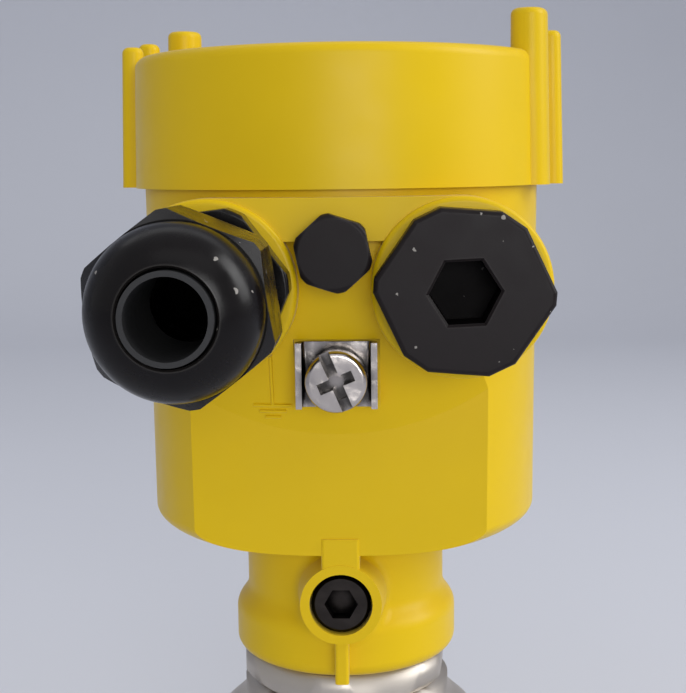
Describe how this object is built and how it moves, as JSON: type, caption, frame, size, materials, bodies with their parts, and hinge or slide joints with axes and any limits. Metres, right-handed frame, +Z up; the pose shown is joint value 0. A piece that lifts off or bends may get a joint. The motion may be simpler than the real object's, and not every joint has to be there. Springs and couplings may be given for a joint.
{
  "type": "pressure transmitter",
  "caption": "Pressure transmitter: round plastic housing with screw lid, cable gland, blind plug, vent cap and earth terminal, turning on a stainless process fitting with a threaded stub.",
  "frame": {"origin": "on the process axis in the plane of the fitting's sealing face, where the threaded stub starts", "axes": "+Z up along the process axis to the lid, -Y to the front with the cable ports, +X to the right seen from the front"},
  "size_m": [0.0793, 0.1128, 0.1603],
  "materials": {
    "yellow_plastic": "injection-moulded, fine satin",
    "black_plastic": "injection-moulded, satin",
    "black_rubber": "moulded, matt",
    "stainless": "turned",
    "nickel": "nickel-plated, bright",
    "black_steel": "blackened",
    "white_ceramic": "ground",
    "brass": "turned",
    "grey_plastic": "injection-moulded",
    "pale_plastic": "injection-moulded",
    "white_membrane": "sintered"
  },
  "bodies": {
    "process": {"process_fitting": "stainless", "measuring_cell": "white_ceramic", "cell_seal": "black_rubber", "cell_ring": "stainless", "neck_seal": "black_rubber", "circlip": "stainless"},
    "housing": {"housing": "yellow_plastic", "gland_body": "black_plastic", "gland_gasket": "black_rubber", "earth_bush": "brass", "vent_cap": "black_plastic", "vent_seal": "black_rubber", "vent_membrane": "white_membrane", "electronics_module": "grey_plastic", "module_screws": "nickel", "terminal_block": "pale_plastic", "terminal_screws": "nickel", "contact_pins": "brass", "inner_earth": "nickel", "earth_clamp": "nickel", "earth_washer": "nickel"},
    "lid_seal": {"lid_seal": "black_rubber"},
    "lid": {"lid": "yellow_plastic"},
    "gland_insert": {"gland_insert": "black_rubber"},
    "gland_nut": {"gland_nut": "black_plastic"},
    "plug_seal": {"plug_seal": "black_rubber"},
    "blind_plug": {"blind_plug": "black_plastic"},
    "earth_screw": {"earth_screw": "nickel"},
    "locking_screw": {"locking_screw": "black_steel"}
  },
  "joints": [
    {"name": "housing_swivel", "type": "hinge", "parent": "process", "child": "housing", "pos_m": [0, 0, 0.0375], "axis": [0, 0, 1], "range_deg": [-165, 165]},
    {"name": "lid_turn", "type": "hinge", "parent": "lid_seal", "child": "lid", "pos_m": [0, 0, 0.118], "axis": [0, 0, 1], "range_deg": [0, 1080]},
    {"name": "lid_lift", "type": "slide", "parent": "housing", "child": "lid_seal", "axis": [0, 0, 1], "range_m": [0, 0.0121]},
    {"name": "gland_nut_turn", "type": "hinge", "parent": "gland_insert", "child": "gland_nut", "pos_m": [-0.0199, -0.06, 0.0936], "axis": [0, -1, 0], "range_deg": [-1440, 720]},
    {"name": "gland_feed", "type": "slide", "parent": "housing", "child": "gland_insert", "axis": [0, -1, 0], "range_m": [-0.0061, 0.0031]},
    {"name": "plug_turn", "type": "hinge", "parent": "plug_seal", "child": "blind_plug", "pos_m": [0.0199, -0.04, 0.0936], "axis": [0, -1, 0], "range_deg": [0, 1440]},
    {"name": "plug_feed", "type": "slide", "parent": "housing", "child": "plug_seal", "axis": [0, -1, 0], "range_m": [0, 0.0061]},
    {"name": "earth_screw_turn", "type": "hinge", "parent": "housing", "child": "earth_screw", "pos_m": [0, -0.03, 0.0784], "axis": [0, -1, 0], "range_deg": [0, 360]},
    {"name": "locking_screw_turn", "type": "hinge", "parent": "housing", "child": "locking_screw", "pos_m": [0, -0.02, 0.0383], "axis": [0, -1, 0], "range_deg": [0, 360]}
  ],
  "couplings": [
    {"joint": "lid_lift", "follows": "lid_turn", "m_per_rad": 0.00063662},
    {"joint": "gland_feed", "follows": "gland_nut_turn", "m_per_rad": 0.00023873},
    {"joint": "plug_feed", "follows": "plug_turn", "m_per_rad": 0.00023873}
  ]
}
